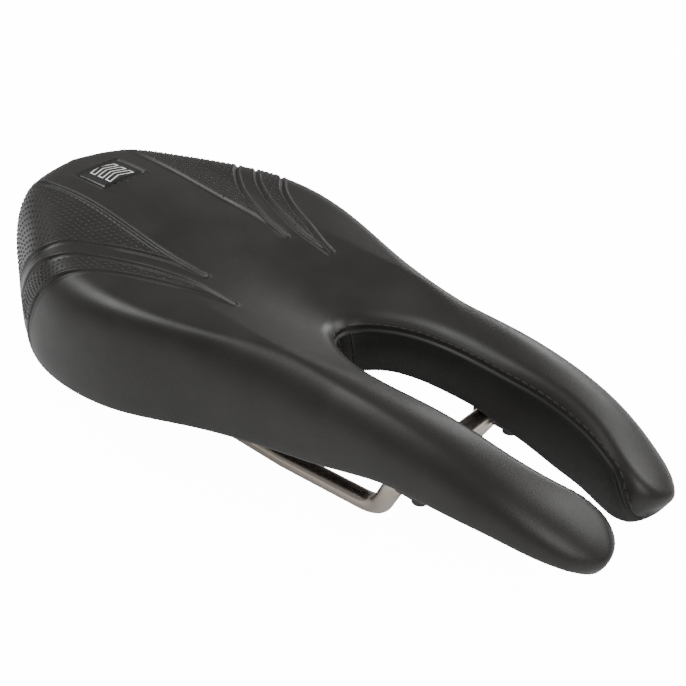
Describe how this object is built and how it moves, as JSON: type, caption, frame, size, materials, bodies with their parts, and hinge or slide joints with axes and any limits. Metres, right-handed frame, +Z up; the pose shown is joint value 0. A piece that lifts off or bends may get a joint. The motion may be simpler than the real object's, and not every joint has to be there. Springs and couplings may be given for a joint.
{
  "type": "bicycle saddle",
  "caption": "Noseless bicycle saddle with a broad padded rear, two padded prongs with an open slot between them, and a looped steel rail.",
  "frame": {"origin": "midway between the two rails, in the middle of their straight clamping stretch, at the rail axis", "axes": "+X forward to the prong tips, +Y to the rider's left, +Z up; the rails' clamping stretch lies along X"},
  "size_m": [0.274, 0.1256, 0.0703],
  "materials": {
    "cover_leather": "smooth satin synthetic leather, near black",
    "panel_leather": "darker, duller synthetic leather",
    "badge": "smooth moulded plate with a pale outline print",
    "thread": "black bonded thread",
    "foam": "moulded foam, grey",
    "shell_nylon": "moulded nylon, matt black",
    "rail_steel": "satin steel",
    "screw_steel": "zinc plated steel",
    "insert_brass": "turned brass"
  },
  "bodies": {
    "root": {"cover_top": "cover_leather", "cover_hem": "cover_leather", "badge_plate": "badge", "inner_panel_left": "panel_leather", "inner_panel_right": "panel_leather", "slot_gusset": "panel_leather", "seam_thread_left": "thread", "seam_thread_right": "thread", "gusset_thread": "thread", "foam_pad": "foam", "base_shell": "shell_nylon", "rear_bridge": "shell_nylon", "front_clip_left": "shell_nylon", "front_clip_right": "shell_nylon", "rail_loop": "rail_steel", "rear_bridge_screws": "screw_steel", "front_clip_screws": "screw_steel", "cover_staples": "screw_steel", "carrier_insert_left": "insert_brass", "carrier_insert_right": "insert_brass"}
  },
  "joints": []
}
